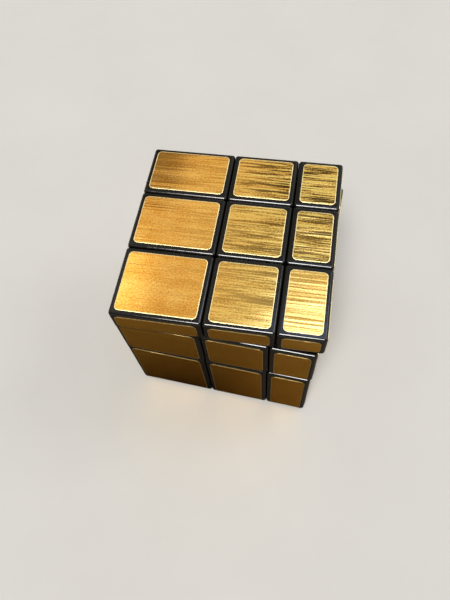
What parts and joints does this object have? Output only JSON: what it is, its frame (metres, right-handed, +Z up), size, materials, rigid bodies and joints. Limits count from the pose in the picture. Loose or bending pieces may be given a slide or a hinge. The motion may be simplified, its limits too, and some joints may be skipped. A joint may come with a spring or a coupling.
{
  "type": "mirror block puzzle cube",
  "caption": "Turning puzzle cube of black plastic blocks with brushed gold faces, in layers of different thicknesses on a sprung screw core.",
  "frame": {"origin": "on the face the cube stands on, where the axis of the top and bottom layers meets it", "axes": "+X towards the right layer (the thinnest of the three along X), +Y towards the back layer, +Z up towards the thin top layer"},
  "size_m": [0.0598, 0.0598, 0.057],
  "materials": {
    "block_plastic": "gloss",
    "foot_plastic": "satin",
    "core_plastic": "satin",
    "screw_steel": "satin",
    "spring_steel": "polished",
    "gold_film": "satin"
  },
  "bodies": {
    "core_and_middle_layer": {"core": "core_plastic", "face_screws": "screw_steel", "screw_washers": "screw_steel", "spring_left": "spring_steel", "spring_right": "spring_steel", "spring_front": "spring_steel", "spring_back": "spring_steel", "spring_bottom": "spring_steel", "spring_top": "spring_steel", "edge_block_front_left": "block_plastic", "edge_block_back_left": "block_plastic", "edge_block_front_right": "block_plastic", "edge_block_back_right": "block_plastic", "edge_feet_middle": "foot_plastic", "side_stickers_middle": "gold_film"},
    "top_layer": {"corner_block_top_front_left": "block_plastic", "corner_block_top_back_left": "block_plastic", "corner_block_top_front_right": "block_plastic", "corner_block_top_back_right": "block_plastic", "edge_block_top_left": "block_plastic", "edge_block_top_front": "block_plastic", "edge_block_top_back": "block_plastic", "edge_block_top_right": "block_plastic", "corner_feet_top": "foot_plastic", "edge_feet_top": "foot_plastic", "top_stickers": "gold_film", "side_stickers_top": "gold_film"},
    "bottom_layer": {"corner_block_bottom_front_left": "block_plastic", "corner_block_bottom_back_left": "block_plastic", "corner_block_bottom_front_right": "block_plastic", "corner_block_bottom_back_right": "block_plastic", "edge_block_bottom_left": "block_plastic", "edge_block_bottom_front": "block_plastic", "edge_block_bottom_back": "block_plastic", "edge_block_bottom_right": "block_plastic", "corner_feet_bottom": "foot_plastic", "edge_feet_bottom": "foot_plastic", "bottom_stickers": "gold_film", "side_stickers_bottom": "gold_film"},
    "left_centre": {"centre_base_left": "block_plastic", "centre_cap_left": "block_plastic", "centre_sticker_left": "gold_film"},
    "right_centre": {"centre_base_right": "block_plastic", "centre_cap_right": "block_plastic", "centre_sticker_right": "gold_film"},
    "front_centre": {"centre_base_front": "block_plastic", "centre_cap_front": "block_plastic", "centre_sticker_front": "gold_film"},
    "back_centre": {"centre_base_back": "block_plastic", "centre_cap_back": "block_plastic", "centre_sticker_back": "gold_film"},
    "bottom_centre": {"centre_base_bottom": "block_plastic", "centre_cap_bottom": "block_plastic", "centre_sticker_bottom": "gold_film"},
    "top_centre": {"centre_base_top": "block_plastic", "centre_cap_top": "block_plastic", "centre_sticker_top": "gold_film"}
  },
  "joints": [
    {"name": "top_layer_turn", "type": "hinge", "parent": "core_and_middle_layer", "child": "top_layer", "pos_m": [0, 0, 0.0385], "axis": [0, 0, 1], "continuous": true},
    {"name": "bottom_layer_turn", "type": "hinge", "parent": "core_and_middle_layer", "child": "bottom_layer", "pos_m": [0, 0, 0.0385], "axis": [0, 0, 1], "continuous": true},
    {"name": "left_centre_lift", "type": "slide", "parent": "core_and_middle_layer", "child": "left_centre", "axis": [-1, 0, 0], "range_m": [0, 0.0006], "stiffness_N_per_m": 1500, "springref_m": -0.002, "deforming": ["spring_left"]},
    {"name": "right_centre_lift", "type": "slide", "parent": "core_and_middle_layer", "child": "right_centre", "axis": [1, 0, 0], "range_m": [0, 0.0006], "stiffness_N_per_m": 1500, "springref_m": -0.002, "deforming": ["spring_right"]},
    {"name": "front_centre_lift", "type": "slide", "parent": "core_and_middle_layer", "child": "front_centre", "axis": [0, -1, 0], "range_m": [0, 0.0006], "stiffness_N_per_m": 1500, "springref_m": -0.002, "deforming": ["spring_front"]},
    {"name": "back_centre_lift", "type": "slide", "parent": "core_and_middle_layer", "child": "back_centre", "axis": [0, 1, 0], "range_m": [0, 0.0006], "stiffness_N_per_m": 1500, "springref_m": -0.002, "deforming": ["spring_back"]},
    {"name": "bottom_centre_lift", "type": "slide", "parent": "bottom_layer", "child": "bottom_centre", "axis": [0, 0, -1], "range_m": [0, 0.0006], "stiffness_N_per_m": 1500, "springref_m": -0.002, "deforming": ["spring_bottom"]},
    {"name": "top_centre_lift", "type": "slide", "parent": "top_layer", "child": "top_centre", "axis": [0, 0, 1], "range_m": [0, 0.0006], "stiffness_N_per_m": 1500, "springref_m": -0.002, "deforming": ["spring_top"]}
  ]
}
